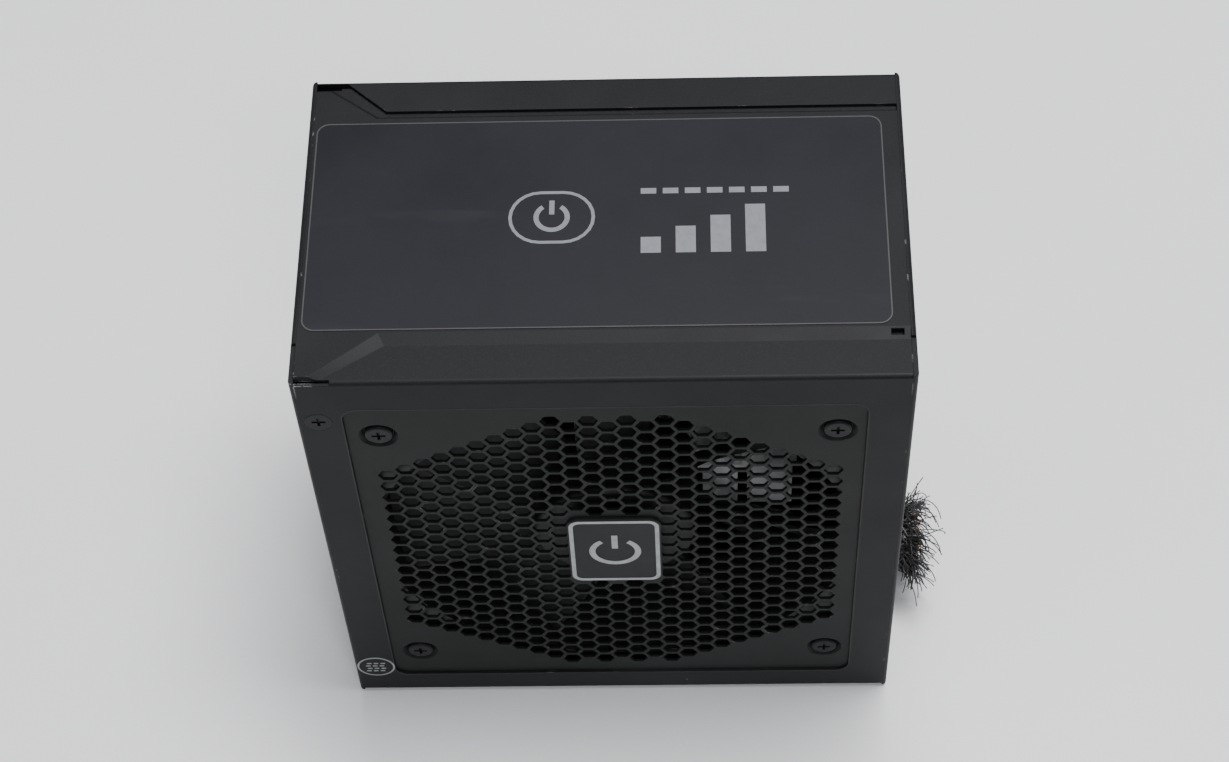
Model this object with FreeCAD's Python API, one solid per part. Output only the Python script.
import FreeCAD, Part
import math
import os

# An ATX computer power supply standing on one of its long sides.
# Frame: +Z up, +X towards the cable end, -Y out of the fan face.
# Origin: centre of the long side that it stands on. Millimetres.

# ---- driving dimensions -------------------------------------------------
LENGTH = 140.0            # inlet end to cable end, along X
HEIGHT = 86.0             # fan face to back plate, along Y
WIDTH = 150.0             # long side to long side, along Z
SHEET = 0.8               # steel sheet
JOGGLE = 0.9              # how far the edge strips lie below the long sides
BEND = 1.0                # outer bend radius
END_BAND = 1.2            # rim of an end plate beside the cover
FAN_X = 0.4               # fan axis
FAN_Z = 74.0
FAN_SIZE = 120.0
FAN_DEPTH = 25.0
FAN_HOLE_PITCH = 105.0
FAN_FRONT = 2.6           # fan face to the fan's front plane
PRESS = 0.6               # how far the grille panel is pressed in
CELL_PITCH = 5.015        # honeycomb pitch along Z
CELL_FLATS = 4.15         # honeycomb opening across flats
BOARD_DEPTH = 78.0        # fan face to the component side of the main board
BOARD = 1.6               # circuit board thickness
OUTLET_Z = 18.0           # centre of the cable outlet
OUTLET_DEPTH = 35.0
WIRE = 2.2                # output wire over its insulation
WIRE_PITCH = 2.3
INLET_Z = 126.0           # centre of the mains inlet
SWITCH_Z = 96.0           # centre of the rocker switch
REAR_DEPTH = 62.0         # depth of both
THREAD_R = 1.46           # 6-32 tapped hole
COLLAR = 2.8              # threaded length of a mounting hole

# ---- derived ------------------------------------------------------------
XE = LENGTH / 2           # outer face of an end plate
XC = XE - END_BAND        # end of the cover
YF = -HEIGHT / 2          # fan face
YB = HEIGHT / 2           # back face
BOARD_Y = YF + BOARD_DEPTH
OUT_Y = YF + OUTLET_DEPTH
REAR_Y = YF + REAR_DEPTH
FAN_Y = YF + FAN_FRONT
PANEL_Y = YF + PRESS
PANEL = (-59.5, 59.5, 9.5, 138.0)     # grille panel: x0, x1, z0, z1
COVER_SCREWS = [(-65.0, 133.5), (-64.5, 14.0)]
MOUNT_HOLES = [(6.0, 80.0), (120.0, 80.0), (6.0, 16.0), (144.0, 6.0)]   # z, depth

Vec = FreeCAD.Vector
AX = Vec(1, 0, 0)
AY = Vec(0, 1, 0)
AZ = Vec(0, 0, 1)
HERE = Vec(0, 0, 0)


# ---- helpers ------------------------------------------------------------
def box(x0, x1, y0, y1, z0, z1):
    return Part.makeBox(x1 - x0, y1 - y0, z1 - z0, Vec(x0, y0, z0))


def rod(axis, x, y, z, radius, length):
    return Part.makeCylinder(radius, length, Vec(x, y, z), axis)


def ring(axis, x, y, z, inner, outer, length):
    return rod(axis, x, y, z, outer, length).cut(rod(axis, x, y, z, inner, length))


def cone(axis, x, y, z, r0, r1, length):
    return Part.makeCone(r0, r1, length, Vec(x, y, z), axis)


def union(shapes):
    return shapes[0].multiFuse(shapes[1:]).removeSplitter()


def group(shapes):
    return Part.makeCompound(shapes)


def prism(points, along):
    """The solid swept by a closed polygon moved along a vector."""
    return Part.Face(Part.makePolygon(points + points[:1])).extrude(along)


def runs_along(edge, axis):
    if not isinstance(edge.Curve, Part.Line):
        return False
    return abs(abs(edge.tangentAt(edge.FirstParameter).dot(axis)) - 1) < 1e-6


def rounded(shape, radius, axis):
    """The shape with its straight edges along axis filleted."""
    edges = [e for e in shape.Edges if runs_along(e, axis)]
    return shape.makeFillet(radius, edges)


def rounded_face(shape, radius, axis, place):
    """The shape with the edges of one flat face, across axis at place, filleted."""
    edges = [e for e in shape.Edges
             if all(abs(v.Point.dot(axis) - place) < 1e-6 for v in e.Vertexes)]
    return shape.makeFillet(radius, edges)


def path(points, radius):
    """Straight runs joined by tangent arcs."""
    edges = []
    last = points[0]
    for before, corner, after in zip(points, points[1:], points[2:]):
        back = (before - corner).normalize()
        ahead = (after - corner).normalize()
        half = (math.pi - back.getAngle(ahead)) / 2
        reach = radius * math.tan(half)
        start = corner + back * reach
        end = corner + ahead * reach
        centre = corner + (back + ahead).normalize() * (radius / math.cos(half))
        middle = centre + (corner - centre).normalize() * radius
        if (start - last).Length > 1e-6:
            edges.append(Part.LineSegment(last, start).toShape())
        edges.append(Part.Arc(start, middle, end).toShape())
        last = end
    edges.append(Part.LineSegment(last, points[-1]).toShape())
    return Part.Wire(edges)


def tube(points, radius, bend):
    """A round wire along straight runs and arcs."""
    spine = path(points, bend)
    first = Part.Wire([Part.makeCircle(radius, points[0], points[1] - points[0])])
    return spine.makePipeShell([first], True, True)


def hexagon(centre, right, up, flats):
    """A hexagon wire with two corners along the right vector."""
    reach = flats / math.sqrt(3)
    corners = []
    for k in range(6):
        turn = math.radians(60 * k)
        corners.append(centre + right * (reach * math.cos(turn)) + up * (reach * math.sin(turn)))
    return Part.makePolygon(corners + corners[:1])


def perforated(sheet, wires, through):
    """The sheet with one prism cut out for each wire."""
    return sheet.cut(group([Part.Face(w).extrude(through) for w in wires]))


def side_copy(shape):
    """The same shape on the opposite long side."""
    return shape.mirror(Vec(0, 0, WIDTH / 2), AZ)


# ---- steel case ---------------------------------------------------------
def raised_field(drop):
    """The raised middle of a long side, with sloped edges."""
    foot = [(-XC, -42.1), (-63.6, -42.1), (-49.0, -32.9), (XC, -32.9),
            (XC, 32.4), (-53.6, 32.4), (-65.2, 40.9), (-XC, 40.9)]
    top = [(-XC, -41.5), (-65.5, -41.5), (-50.5, -30.0), (XC, -30.0),
           (XC, 31.5), (-54.1, 31.5), (-65.5, 40.0), (-XC, 40.0)]
    wires = []
    for outline, z in ((foot, WIDTH - JOGGLE - drop), (top, WIDTH - drop)):
        points = [Vec(x, y, z) for x, y in outline]
        wires.append(Part.makePolygon(points + points[:1]))
    return Part.makeLoft(wires, True, True)


def grille_window(y0, y1):
    x0, x1, z0, z1 = PANEL
    return rounded(box(x0, x1, y0, y1, z0, z1), 3.5, AY)


def cover_shell():
    low = JOGGLE
    outer = box(-XC, XC, YF, 41.5, low, WIDTH - low)
    front = [e for e in outer.Edges
             if runs_along(e, AX) and all(abs(v.Y - YF) < 1e-6 for v in e.Vertexes)]
    outer = outer.makeFillet(BEND, front)
    inner = box(-XC, XC, YF + SHEET, 41.5, low + SHEET, WIDTH - low - SHEET)
    shell = outer.cut(inner)
    for flip in (False, True):
        field = raised_field(0)
        hollow = raised_field(SHEET)
        relief = box(-XC, -60.8, YF, YF + 1.1, WIDTH - 1.7, WIDTH - low + 0.3)
        corner = box(-XC, -63.0, 40.95, 41.5, WIDTH - 2.0, WIDTH)
        slot = box(64.4, 67.3, -31.9, -30.5, WIDTH - 3.0, WIDTH)
        cuts = [hollow, relief, corner, slot]
        if flip:
            field = side_copy(field)
            cuts = [side_copy(c) for c in cuts]
        shell = shell.fuse(field)
        shell = shell.cut(group(cuts[:1]))
        shell = shell.cut(group(cuts[1:]))
    holes = [cone(AY, x, YF, z, 3.3, 1.8, SHEET) for x, z in COVER_SCREWS]
    return shell.cut(group([grille_window(YF - 1, YF + SHEET + 1)] + holes))


def grille_cells(y):
    """Honeycomb cells round the fan axis, clear of the badge's plain patch."""
    counts = [23, 24, 23, 24, 23, 22, 21, 20, 19, 18, 17, 16, 15]
    column = CELL_PITCH * math.sqrt(3) / 2
    wires = []
    for i in range(-12, 13):
        number = counts[abs(i)]
        for j in range(number):
            x = i * column
            z = CELL_PITCH * (j - (number - 1) / 2)
            if abs(x) < 12.5 and abs(z) < 15.5:
                continue
            wires.append(hexagon(Vec(FAN_X + x, y, FAN_Z + z), AX, AZ, CELL_FLATS))
    return wires


def fan_hole_centres():
    half = FAN_HOLE_PITCH / 2
    return [(FAN_X + sx * half, FAN_Z + sz * half) for sx in (-1, 1) for sz in (-1, 1)]


def fan_grille():
    sheet = grille_window(PANEL_Y, PANEL_Y + SHEET)
    deep = 1.2
    for x, z in fan_hole_centres():
        sheet = sheet.fuse(cone(AY, x, PANEL_Y + 0.4, z, 5.2, 4.1, deep + SHEET - 0.4))
        sheet = sheet.cut(cone(AY, x, PANEL_Y, z, 4.6, 3.5, deep))
        sheet = sheet.cut(rod(AY, x, PANEL_Y, z, 2.8, 5))
    return perforated(sheet, grille_cells(PANEL_Y - 1), AY * 4)


def chassis_back_plate():
    outer = box(-XC, XC, 33.6, YB, 0, WIDTH)
    rear = [e for e in outer.Edges
            if runs_along(e, AX) and all(abs(v.Y - YB) < 1e-6 for v in e.Vertexes)]
    outer = outer.makeFillet(BEND, rear)
    inner = box(-XC, XC, 33.6, YB - SHEET, SHEET, WIDTH - SHEET)
    plate = outer.cut(inner)
    lip = [Vec(x, y, -1) for x, y in ((-XC, 33.6), (-51.8, 33.6), (-61.4, YB - SHEET), (-XC, YB - SHEET))]
    plate = plate.cut(prism(lip, AZ * (WIDTH + 2)))
    holes = [rod(AY, x, YB - 2, z, 1.5, 3) for x, z in BOARD_FIXINGS + [EARTH_POINT]]
    return plate.cut(group(holes))


def end_plate(sign):
    """One end of the chassis: a plate with a rim and folded-in flanges."""
    slab = box(XC, XE, YF, YB, 0, WIDTH)
    slab = rounded_face(slab, BEND, AX, XE)
    slab = slab.cut(box(XC, XE - SHEET, YF + 1.6, YB - 1.6, 2.6, WIDTH - 2.6))
    strips = [box(XC, XE, YF, -32.5, WIDTH - JOGGLE, WIDTH), box(XC, XE, YF, -32.5, 0, JOGGLE)]
    slab = slab.cut(group(strips))
    inside = XC - 9.5
    flanges = [
        box(inside, XC + 0.2, -40.5, 32.0, WIDTH - 2.6, WIDTH - 1.8),
        box(inside, XC + 0.2, -40.5, 32.0, 1.8, 2.6),
        box(inside + 1.0, XC + 0.2, YF + SHEET + 0.05, YF + 1.65, 4.0, WIDTH - 4.0),
    ]
    plate = union([slab] + flanges)
    if sign < 0:
        plate = plate.mirror(HERE, AX)
    return plate


def vent_cells(x):
    """Exhaust honeycomb of the inlet end, round the inlet and the switch."""
    pitch = 6.0
    column = pitch * math.sqrt(3) / 2
    wires = []
    for i in range(13):
        y = -33.0 + column * i
        for j in range(22):
            z = 12.0 + pitch * (j + 0.5 * (i % 2))
            beside = y > 3.0 and z > 80.0
            near_hole = abs(z - 6) < 9 and y > 30
            if z > 139 or beside or near_hole:
                continue
            wires.append(hexagon(Vec(x, y, z), AY, AZ, 5.0))
    return wires


def chassis_inlet_end():
    plate = end_plate(-1)
    collars = [rod(AX, -XE + 0.4, YF + d, z, 2.5, COLLAR - 0.4) for z, d in MOUNT_HOLES]
    plate = union([plate] + collars)
    taps = [rod(AX, -XE - 1, YF + d, z, THREAD_R, COLLAR + 2) for z, d in MOUNT_HOLES]
    screws = [rod(AY, x, YF, z, 1.65, 3) for x, z in COVER_SCREWS]
    ports = [box(-XE - 1, -XE + 2, REAR_Y - 10.1, REAR_Y + 10.1, INLET_Z - 13.6, INLET_Z + 13.6),
             box(-XE - 1, -XE + 2, REAR_Y - 6.6, REAR_Y + 6.6, SWITCH_Z - 9.9, SWITCH_Z + 9.9)]
    plate = plate.cut(group(taps + screws + ports))
    return perforated(plate, vent_cells(-XE - 1), AX * 3)


SOCKET_Z = [56.0, 80.0, 104.0, 128.0]
SOCKET_Y = 17.0
SOCKET_HALF_Z = 10.2
SOCKET_HALF_Y = 6.2


def chassis_cable_end():
    plate = end_plate(1)
    cuts = [rod(AX, XE - 3, OUT_Y, OUTLET_Z, 10.0, 5)]
    for z in SOCKET_Z:
        cuts.append(box(XE - 3, XE + 1, SOCKET_Y - SOCKET_HALF_Y - 0.1, SOCKET_Y + SOCKET_HALF_Y + 0.1,
                        z - SOCKET_HALF_Z - 0.1, z + SOCKET_HALF_Z + 0.1))
    return plate.cut(group(cuts))


def cross_recess(x, y, z, deep):
    """A cross-shaped driver recess in a head that faces -Y."""
    bars = [box(x - 1.6, x + 1.6, y, y + deep, z - 0.35, z + 0.35),
            box(x - 0.35, x + 0.35, y, y + deep, z - 1.6, z + 1.6)]
    return group(bars)


def cover_screws():
    made = []
    for x, z in COVER_SCREWS:
        head = cone(AY, x, YF, z, 3.2, 1.6, SHEET)
        shank = rod(AY, x, YF + SHEET, z, 1.55, 5.0)
        made.append(union([head, shank]).cut(cross_recess(x, YF, z, 0.6)))
    return group(made)


def fan_screws():
    made = []
    seat = PANEL_Y + 1.2
    for x, z in fan_hole_centres():
        head = rounded_face(rod(AY, x, seat - 1.3, z, 3.3, 1.3), 0.6, AY, seat - 1.3)
        shank = rod(AY, x, seat, z, 2.05, 9.0)
        made.append(union([head, shank]).cut(cross_recess(x, seat - 1.3, z, 0.8)))
    return group(made)


# ---- badge, sticker and labels -------------------------------------------
def grille_badge():
    plate = box(FAN_X - 11.4, FAN_X + 11.4, PANEL_Y - 0.9, PANEL_Y, FAN_Z - 14.8, FAN_Z + 14.8)
    plate = rounded(plate, 3.0, AY)
    return rounded_face(plate, 0.35, AY, PANEL_Y - 0.9)


def seal_sticker():
    x, z = COVER_SCREWS[1]
    return rod(AY, x, YF - 0.1, z, 4.95, 0.1)


def side_label():
    return rounded(box(-68.0, 65.0, -29.3, 30.0, WIDTH, WIDTH + 0.12), 3.0, AZ)


def rating_label():
    return rounded(box(-52.0, 52.0, YB, YB + 0.12, 34.0, 118.0), 2.5, AY)


# ---- fan ----------------------------------------------------------------
def at_fan(shape):
    """Moves a shape made round +Z from the fan's front plane on to the fan axis."""
    turned = shape.rotate(HERE, AX, -90)
    turned.translate(Vec(FAN_X, FAN_Y, FAN_Z))
    return turned


FAN_BORE_R = 58.2
HUB_R = 20.0
TIP_R = 56.6
BLADES = 7


def fan_frame():
    half = FAN_SIZE / 2
    square = rounded(box(-half, half, -half, half, 0, FAN_DEPTH), 5.0, AZ)
    waist = rounded(box(-half - 1, half + 1, -half - 1, half + 1, 4.0, FAN_DEPTH - 4.0), 2.0, AZ)
    waist = waist.cut(rod(AZ, 0, 0, 4.0, half - 0.2, FAN_DEPTH - 8))
    corner = FAN_HOLE_PITCH / 2
    posts = [rod(AZ, sx * corner, sy * corner, 0, 4.2, FAN_DEPTH) for sx in (-1, 1) for sy in (-1, 1)]
    body = square.cut(waist.cut(group(posts)))
    holes = [rod(AZ, sx * corner, sy * corner, 0, 2.15, FAN_DEPTH) for sx in (-1, 1) for sy in (-1, 1)]
    return at_fan(body.cut(group([rod(AZ, 0, 0, 0, FAN_BORE_R, FAN_DEPTH)] + holes)))


def fan_motor_mount():
    """Hub plate, four arms out to the fan frame, and the bearing post."""
    hub = rod(AZ, 0, 0, FAN_DEPTH - 3.0, HUB_R, 3.0)
    arms = []
    for k in range(4):
        arm = box(HUB_R - 2, FAN_BORE_R + 1.0, -2.0, 2.0, FAN_DEPTH - 3.0, FAN_DEPTH)
        arm = arm.common(rod(AZ, 0, 0, FAN_DEPTH - 3.0, FAN_BORE_R, 3.0))
        arms.append(arm.rotate(HERE, AZ, 45 + 90 * k))
    post = rod(AZ, 0, 0, 5.5, 4.4, FAN_DEPTH - 6.5)
    body = union([hub, post] + arms)
    return at_fan(body.cut(rod(AZ, 0, 0, 0, 3.0, FAN_DEPTH - 1.2)))


def blade_section(radius, chord, pitch, camber, sweep):
    """A lens-shaped blade section at one radius, as two arcs."""
    turn = math.radians(pitch)

    def place(along, across):
        t = along * math.cos(turn) - across * math.sin(turn)
        a = along * math.sin(turn) + across * math.cos(turn)
        return Vec(radius, t + sweep, 11.5 + a)
    tail = place(-chord / 2, 0)
    nose = place(chord / 2, 0)
    over = Part.Arc(tail, place(0, camber + 0.8), nose).toShape()
    under = Part.Arc(nose, place(0, camber - 0.8), tail).toShape()
    return Part.Wire([over, under])


def fan_rotor():
    sections = [blade_section(14.0, 17.0, 42.0, 2.6, 0.0),
                blade_section(36.0, 25.0, 33.0, 3.0, 3.0),
                blade_section(60.0, 34.0, 24.0, 3.4, 9.0)]
    blade = Part.makeLoft(sections, True, False)
    blade = blade.common(ring(AZ, 0, 0, 0, HUB_R - 0.8, TIP_R, FAN_DEPTH))
    hub = rounded_face(rod(AZ, 0, 0, 2.0, HUB_R, 18.0), 1.2, AZ, 2.0)
    hub = hub.cut(rod(AZ, 0, 0, 3.6, HUB_R - 1.2, 17.0))
    boss = rod(AZ, 0, 0, 3.0, 3.5, 2.0)
    parts = [hub, boss]
    for k in range(BLADES):
        parts.append(blade.copy().rotate(HERE, AZ, 360.0 * k / BLADES + 12.0))
    rotor = union(parts).cut(rod(AZ, 0, 0, 3.0, 1.5, 4.0))
    return at_fan(rotor)


def fan_shaft():
    return at_fan(rod(AZ, 0, 0, 3.0, 1.5, 18.5))


def fan_bearing():
    return at_fan(ring(AZ, 0, 0, 5.5, 1.55, 3.0, 16.5))


def fan_magnet_ring():
    return at_fan(ring(AZ, 0, 0, 5.0, 17.2, HUB_R - 1.2, 11.0))


def fan_stator():
    core = ring(AZ, 0, 0, 7.0, 4.43, 8.0, 8.0)
    teeth = []
    for k in range(4):
        neck = box(7.5, 14.0, -1.5, 1.5, 8.5, 13.5)
        shoe = box(13.0, 16.0, -5.0, 5.0, 7.5, 14.5)
        coil = box(8.5, 12.5, -3.6, 3.6, 7.0, 15.0)
        teeth += [s.rotate(HERE, AZ, 90 * k) for s in (neck, shoe, coil)]
    return at_fan(union([core] + teeth))


def fan_circuit_board():
    return at_fan(ring(AZ, 0, 0, 17.0, 4.4, 17.0, 1.0))


def fan_lead():
    """Two wires from the fan's hub side to the plug on the main board."""
    back = FAN_Y + FAN_DEPTH
    made = []
    for dz in (0.0, 1.6):
        route = [Vec(47.0, back - 2.9, 100.0 + dz), Vec(47.0, back + 4.0, 100.0 + dz),
                 Vec(54.0, back + 4.0, 100.0 + dz), Vec(54.0, BOARD_Y - 8.0, 100.0 + dz)]
        made.append(tube(route, 0.65, 2.5))
    return group(made)


def fan_plug():
    body = box(52.0, 56.0, BOARD_Y - 8.0, BOARD_Y - 2.0, 97.5, 104.0)
    header = box(51.6, 56.4, BOARD_Y - 2.0, BOARD_Y, 97.0, 104.5)
    return union([body, header])


# ---- mains inlet and switch ----------------------------------------------
INLET_DEEP = 17.0
PIN_TIP = 5.0             # inlet face to the pin tips


def ac_inlet_body():
    body = box(-XE, -XE + INLET_DEEP + 2, REAR_Y - 10, REAR_Y + 10, INLET_Z - 13.5, INLET_Z + 13.5)
    body = rounded(body, 1.5, AX)
    well = box(-XE, -XE + INLET_DEEP, REAR_Y - 8.3, REAR_Y + 8.3, INLET_Z - 12.1, INLET_Z + 12.1)
    keyed = [e for e in well.Edges
             if runs_along(e, AX) and all(abs(v.Y - REAR_Y + 8.3) < 1e-6 for v in e.Vertexes)]
    well = well.makeChamfer(4.0, keyed)
    body = body.cut(well)
    return body.cut(group(inlet_blades()))


def inlet_blades():
    """Line, neutral and earth blades with their solder tails."""
    made = []
    for dz, dy in ((-7.0, 2.0), (7.0, 2.0), (0.0, -2.0)):
        y = REAR_Y + dy
        z = INLET_Z + dz
        blade = box(-XE + PIN_TIP, -XE + INLET_DEEP + 2, y - 2.0, y + 2.0, z - 1.0, z + 1.0)
        blade = rounded_face(blade, 0.6, AX, -XE + PIN_TIP)
        tail = box(-XE + INLET_DEEP + 2, -XE + INLET_DEEP + 8, y - 2.4, y + 2.4, z - 0.4, z + 0.4)
        made.append(union([blade, tail]))
    return made


def ac_inlet_pins():
    return group(inlet_blades())


ROCKER_X = -XE + 3.0      # rocker pivot
ROCKER_LEAN = 10.0        # tilt at rest, either side of level


def rocker_switch_frame():
    half_y = 6.5
    half_z = 9.8
    body = box(-XE, -XE + 14, REAR_Y - half_y, REAR_Y + half_y, SWITCH_Z - half_z, SWITCH_Z + half_z)
    bezel = box(-XE - 1.4, -XE, REAR_Y - 7.5, REAR_Y + 7.5, SWITCH_Z - 10.5, SWITCH_Z + 10.5)
    bezel = rounded_face(bezel, 0.8, AX, -XE - 1.4)
    well = box(-XE - 1.4, -XE + 9, REAR_Y - 5.5, REAR_Y + 5.5, SWITCH_Z - 9.3, SWITCH_Z + 9.3)
    pivot = rod(AY, ROCKER_X, REAR_Y - 6.4, SWITCH_Z, 1.05, 12.8)
    return union([body, bezel]).cut(group([well, pivot]))


def rocker_switch_rocker():
    half = 8.1
    outline = [(-3.7, -half), (-2.4, 0), (-3.7, half), (0.6, 7.4), (2.6, 3.0), (2.6, -3.0), (0.6, -7.4)]
    points = [Vec(ROCKER_X + x, REAR_Y - 5.2, SWITCH_Z + z) for x, z in outline]
    cap = prism(points, AY * 10.4)
    axle = rod(AY, ROCKER_X, REAR_Y - 6.2, SWITCH_Z, 1.0, 12.4)
    rocker = union([cap, axle])
    rocker.rotate(Vec(ROCKER_X, REAR_Y, SWITCH_Z), AY, -ROCKER_LEAN)
    return rocker


def rocker_switch_terminals():
    tabs = []
    for z in (SWITCH_Z - 4.5, SWITCH_Z + 4.5):
        tabs.append(box(-XE + 14, -XE + 22, REAR_Y - 2.4, REAR_Y + 2.4, z - 0.4, z + 0.4))
    return group(tabs)


# ---- boards --------------------------------------------------------------
BOARD_FIXINGS = [(-60.0, 10.0), (52.0, 48.0), (-60.0, 76.0), (52.0, 140.0)]
EARTH_POINT = (-63.5, 112.0)
FILTER_X = -43.6          # inlet side of the filter board


def main_board():
    board = box(-65.0, 57.0, BOARD_Y, BOARD_Y + BOARD, 6.0, 144.0)
    corner = box(-66.0, -58.0, BOARD_Y, BOARD_Y + BOARD, 106.0, 145.0)
    holes = [rod(AY, x, BOARD_Y, z, 1.6, BOARD) for x, z in BOARD_FIXINGS]
    return board.cut(group([corner] + holes))


def board_standoffs():
    length = YB - SHEET - BOARD_Y - BOARD
    return group([ring(AY, x, BOARD_Y + BOARD, z, 1.5, 3.0, length) for x, z in BOARD_FIXINGS])


def board_screws():
    made = []
    for x, z in BOARD_FIXINGS:
        head = rod(AY, x, BOARD_Y - 1.8, z, 2.8, 1.8)
        shank = rod(AY, x, BOARD_Y, z, 1.4, BOARD + 4.5)
        made.append(union([head, shank]).cut(cross_recess(x, BOARD_Y - 1.8, z, 1.0)))
    return group(made)


def insulation_sheet():
    sheet = box(-66.0, 64.0, YB - 3.2, YB - 2.8, 4.0, 146.0)
    holes = [rod(AY, x, YB - 4, z, 3.2, 3) for x, z in BOARD_FIXINGS]
    notch = box(-67.0, -58.0, YB - 4, YB, 104.0, 128.0)
    return sheet.cut(group(holes + [notch]))


def inlet_filter_board():
    return box(FILTER_X, FILTER_X + BOARD, 6.0, 32.0, 84.0, 142.0)


def modular_board():
    return box(58.8, 60.4, 2.0, 33.5, 42.0, 142.0)


def modular_sockets():
    """Four sockets for detachable cables, each an open shroud."""
    made = []
    for z in SOCKET_Z:
        body = box(60.4, XE + 1.0, SOCKET_Y - SOCKET_HALF_Y, SOCKET_Y + SOCKET_HALF_Y,
                   z - SOCKET_HALF_Z, z + SOCKET_HALF_Z)
        well = box(62.4, XE + 1.0, SOCKET_Y - SOCKET_HALF_Y + 1.2, SOCKET_Y + SOCKET_HALF_Y - 1.2,
                   z - SOCKET_HALF_Z + 1.2, z + SOCKET_HALF_Z - 1.2)
        top = SOCKET_Y + SOCKET_HALF_Y
        low = SOCKET_Y - SOCKET_HALF_Y
        latch = box(XE, XE + 1.0, top, top + 1.2, z - 2, z + 2)
        key = box(62.4, XE - 2.0, low + 1.2, low + 1.8, z - 3, z + 3)
        made.append(union([body.cut(well), latch, key]))
    return group(made)


def socket_pins():
    made = []
    for z in SOCKET_Z:
        for column in range(4):
            for row in (-2.1, 2.1):
                across = z + 4.2 * (column - 1.5)
                y = SOCKET_Y + row
                made.append(box(62.4, 66.0, y - 0.5, y + 0.5, across - 0.5, across + 0.5))
    return group(made)


# ---- parts on the main board -----------------------------------------------
def standing_can(x, z, radius, tall):
    """A capacitor can that stands on the main board, with its pressed neck."""
    can = rod(AY, x, BOARD_Y - tall, z, radius, tall)
    can = rounded_face(can, min(1.0, radius / 6), AY, BOARD_Y - tall)
    neck = ring(AY, x, BOARD_Y - 4.0, z, radius - 0.5, radius + 0.1, 1.2)
    return can.cut(neck)


def bulk_capacitor():
    return standing_can(-44.0, 26.0, 15.0, 42.0)


def output_capacitors():
    return group([standing_can(x, z, 5.0, 22.0) for x in (26.0, 37.5) for z in (78.0, 90.0, 102.0)])


def primary_heatsink():
    wall = box(-24.0, -21.0, BOARD_Y - 44.0, BOARD_Y, 10.0, 74.0)
    fins = []
    for k in range(3):
        y = BOARD_Y - 44.0 + 5.0 * k
        fins.append(box(-27.5, -24.0, y, y + 1.6, 10.0, 74.0))
    return union([wall] + fins)


def flat_package(x0, x1, y0, y1, z0, z1):
    return rounded_face(box(x0, x1, y0, y1, z0, z1), 0.4, AX, x1)


def primary_transistors():
    made = []
    for z in (18.0, 36.0, 54.0):
        made.append(flat_package(-21.0, -16.2, BOARD_Y - 26.0, BOARD_Y - 6.0, z - 7.5, z + 7.5))
    return group(made)


def secondary_heatsink():
    """A wall on the board, a flange in three tabs that faces the fan, and short fins."""
    front = BOARD_Y - 44.5
    wall = box(1.0, 45.0, front, BOARD_Y, 56.0, 58.5)
    spans = ((1.0, 18.0), (22.0, 31.0), (33.5, 45.0))
    tabs = [box(x0, x1, front, front + 2.0, 40.0, 56.0) for x0, x1 in spans]
    fins = [box(1.0 + 6.2 * k, 2.6 + 6.2 * k, front, front + 22.0, 58.5, 66.0) for k in range(8)]
    return union([wall] + tabs + fins)


def rectifier_transistors():
    return group([box(x - 5, x + 5, BOARD_Y - 22, BOARD_Y - 6, 51.5, 56.0) for x in (9.0, 22.0, 35.0)])


def wound_block(x, z, half_x, half_z, tall):
    """A ferrite core round a taped winding, on a bobbin."""
    core = box(x - half_x, x + half_x, BOARD_Y - tall, BOARD_Y - 3.0, z - half_z * 0.45, z + half_z * 0.45)
    winding = box(x - half_x * 0.78, x + half_x * 0.78, BOARD_Y - tall + 5.0, BOARD_Y - 5.0,
                  z - half_z, z + half_z)
    winding = rounded(winding, half_z * 0.3, AY)
    bobbin = box(x - half_x * 0.9, x + half_x * 0.9, BOARD_Y - 5.0, BOARD_Y, z - half_z, z + half_z)
    return union([core, winding, bobbin])


def main_transformer():
    return wound_block(1.0, 28.0, 15.0, 17.0, 36.0)


def standby_transformer():
    return wound_block(2.0, 88.0, 10.0, 9.0, 20.0)


def toroid(x, z, big, small):
    """A wound ring that lies on the main board, with its turns as ribs."""
    y = BOARD_Y - small - 0.6
    body = Part.makeTorus(big, small, Vec(x, y, z), AY)
    turns = []
    for k in range(18):
        turn = math.radians(20.0 * k)
        centre = Vec(x + big * math.cos(turn), y, z + big * math.sin(turn))
        around = Vec(-math.sin(turn), 0, math.cos(turn))
        turns.append(Part.makeCylinder(small + 0.6, 1.4, centre - around * 0.7, around))
    return union([body] + turns)


def pfc_choke():
    return toroid(-43.0, 64.0, 11.5, 6.5)


def output_choke():
    return toroid(30.0, 28.0, 8.5, 4.8)


def emi_choke():
    return toroid(-2.0, 124.0, 9.0, 5.5)


def bridge_rectifier():
    return rounded(box(-16.0, 6.0, BOARD_Y - 20.0, BOARD_Y - 3.0, 70.5, 74.5), 1.0, AZ)


def x_capacitors():
    made = []
    for z in (114.0, 132.0):
        made.append(rounded(box(-38.0, -18.0, BOARD_Y - 17.0, BOARD_Y, z - 5.0, z + 5.0), 0.8, AY))
    return group(made)


def y_capacitors():
    """Small coated discs with two legs."""
    made = []
    for x, z in ((-56.0, 92.0), (-49.0, 92.0), (-56.0, 99.0)):
        disc = rod(AX, x, BOARD_Y - 9.0, z, 4.0, 3.0)
        legs = []
        for leg_z in (z - 2.5, z + 2.5):
            legs.append(box(x + 1.2, x + 1.8, BOARD_Y - 9.0, BOARD_Y, leg_z - 0.3, leg_z + 0.3))
        made.append(union([disc] + legs))
    return group(made)


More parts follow.
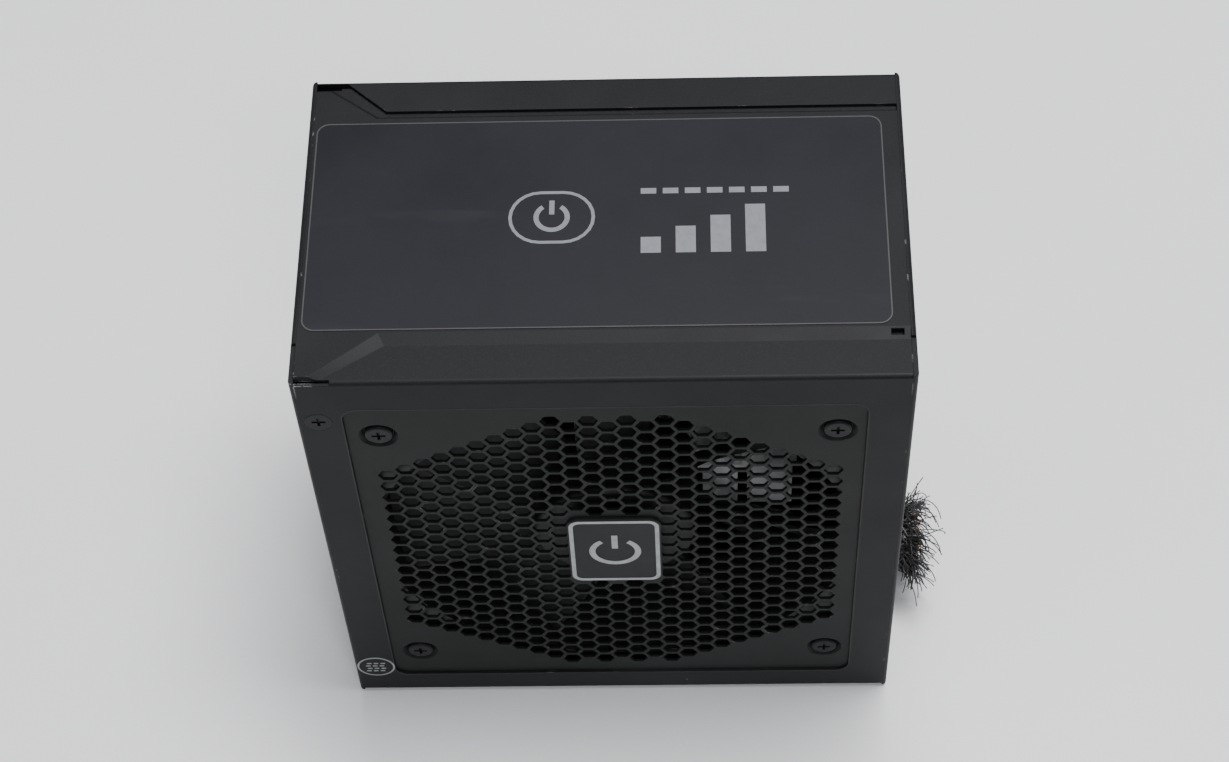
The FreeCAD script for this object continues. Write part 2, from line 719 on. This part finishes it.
def fuse():
    glass = rod(AX, -36.0, BOARD_Y - 4.0, 84.0, 2.6, 20.0)
    caps = [rod(AX, x, BOARD_Y - 4.0, 84.0, 3.0, 5.0) for x in (-36.5, -20.5)]
    clips = [box(x, x + 3.0, BOARD_Y - 4.0, BOARD_Y, 82.5, 85.5) for x in (-35.5, -19.5)]
    return union([glass] + caps + clips)


def thermistor():
    disc = rod(AX, -14.0, BOARD_Y - 10.0, 102.0, 7.0, 4.0)
    legs = [box(-12.4, -11.6, BOARD_Y - 10.0, BOARD_Y, 102.0 + dz - 0.4, 102.0 + dz + 0.4) for dz in (-4, 4)]
    return union([disc] + legs)


def relay():
    return rounded(box(-38.0, -20.0, BOARD_Y - 15.0, BOARD_Y, 91.0, 101.0), 0.6, AY)


def control_board():
    return box(14.0, 50.0, BOARD_Y - 24.0, BOARD_Y, 114.0, 115.2)


# ---- leads and fasteners ---------------------------------------------------
def ac_leads():
    """Line and neutral from the inlet to the filter board, by way of the switch."""
    made = []
    tail = -XE + INLET_DEEP + 6
    for dz in (-7.0, 7.0):
        z = INLET_Z + dz
        made.append(tube([Vec(tail, REAR_Y - 1.2, z), Vec(tail, REAR_Y - 10.0, z),
                          Vec(FILTER_X, REAR_Y - 10.0, z)], 1.1, 2.4))
    for dz in (-4.5, 4.5):
        z = SWITCH_Z + dz
        made.append(tube([Vec(-XE + 20, REAR_Y - 3.6, z), Vec(-XE + 20, REAR_Y - 11.0, z),
                          Vec(FILTER_X, REAR_Y - 11.0, z)], 1.1, 2.4))
    return group(made)


def earth_lead():
    """The earth wire, with a ring terminal under the earth screw."""
    x, z = EARTH_POINT
    eye = ring(AY, x, YB - SHEET - 0.8, z, 1.7, 3.2, 0.8)
    start = -XE + INLET_DEEP + 6
    wire = tube([Vec(start, REAR_Y + 0.6, INLET_Z), Vec(start, BOARD_Y - 4.0, INLET_Z),
                 Vec(x + 1.5, BOARD_Y - 4.0, INLET_Z - 3.0), Vec(x + 1.0, BOARD_Y + 3.0, INLET_Z - 5.0),
                 Vec(x, YB - SHEET - 1.8, z + 5.5)], 0.9, 2.2)
    lug = box(x - 1.2, x + 1.2, YB - SHEET - 0.8, YB - SHEET, z + 2.8, z + 7.0)
    return group([union([eye, lug]), wire])


def earth_screw():
    x, z = EARTH_POINT
    head = rod(AY, x, YB - SHEET - 3.0, z, 3.0, 2.2)
    shank = rod(AY, x, YB - SHEET - 0.8, z, 1.45, 1.6)
    return union([head, shank]).cut(cross_recess(x, YB - SHEET - 3.0, z, 1.2))


# ---- cable outlet ------------------------------------------------------------
ELBOW_X = 66.0            # where the wires turn towards the main board
ELBOW_R = 12.0
SLEEVE_IN = 8.2
SLEEVE_OUT = 8.75
SLEEVE_END = 77.0


def wire_offsets():
    """Hexagonal packing of 37 wires, as offsets along Y and Z."""
    found = []
    for q in range(-3, 4):
        for s in range(max(-3, -q - 3), min(3, -q + 3) + 1):
            found.append((WIRE_PITCH * (q + s / 2), WIRE_PITCH * s * math.sqrt(3) / 2))
    return found


def output_wires():
    """Wires cut off outside the outlet, and soldered to the main board inside."""
    made = []
    for number, (dy, dz) in enumerate(wire_offsets()):
        end = 77.6 + 0.55 * (number * 5 % 4)
        y = OUT_Y + dy
        z = OUTLET_Z + dz
        inner = ELBOW_R - dy
        route = [Vec(end, y, z), Vec(ELBOW_X - inner, y, z), Vec(ELBOW_X - inner, BOARD_Y, z)]
        made.append(tube(route, WIRE / 2, inner))
    return group(made)


def output_sleeve():
    start = ELBOW_X - 1.0
    return ring(AX, start, OUT_Y, OUTLET_Z, SLEEVE_IN, SLEEVE_OUT, SLEEVE_END - start)


def cable_tie():
    band = ring(AX, 65.2, OUT_Y, OUTLET_Z, SLEEVE_OUT, SLEEVE_OUT + 1.1, 2.4)
    head = box(64.6, 67.5, OUT_Y - SLEEVE_OUT - 4.4, OUT_Y - SLEEVE_OUT - 0.9, OUTLET_Z - 2.2, OUTLET_Z + 2.2)
    return union([band, head])


def cable_grommet():
    body = ring(AX, 68.0, OUT_Y, OUTLET_Z, SLEEVE_OUT + 0.05, 9.95, 4.0)
    inside = ring(AX, 68.0, OUT_Y, OUTLET_Z, 9.0, 11.4, 1.2)
    lip = ring(AX, XE, OUT_Y, OUTLET_Z, 9.0, 11.4, 2.0)
    return rounded_face(union([body, inside, lip]), 0.6, AX, XE + 2.0)


NODES = [
    cover_shell, fan_grille, chassis_back_plate, chassis_inlet_end, chassis_cable_end, cover_screws,
    fan_screws, grille_badge, seal_sticker, side_label, rating_label, fan_frame, fan_motor_mount, fan_rotor,
    fan_shaft, fan_bearing, fan_magnet_ring, fan_stator, fan_circuit_board, fan_lead, fan_plug, ac_inlet_body,
    ac_inlet_pins, rocker_switch_frame, rocker_switch_rocker, rocker_switch_terminals, main_board,
    board_standoffs, board_screws, insulation_sheet, inlet_filter_board, modular_board, modular_sockets,
    socket_pins, bulk_capacitor, output_capacitors, primary_heatsink, primary_transistors,
    secondary_heatsink, rectifier_transistors, main_transformer, standby_transformer, pfc_choke,
    output_choke, emi_choke, bridge_rectifier, x_capacitors, y_capacitors, fuse, thermistor, relay,
    control_board, ac_leads, earth_lead, earth_screw, output_wires, output_sleeve, cable_tie,
    cable_grommet,
]

os.makedirs("parts", exist_ok=True)
for make in NODES:
    shape = make()
    shape.exportStep("parts/" + make.__name__ + ".step")
    print(make.__name__, len(shape.Solids), shape.isValid(), round(shape.Volume, 1))
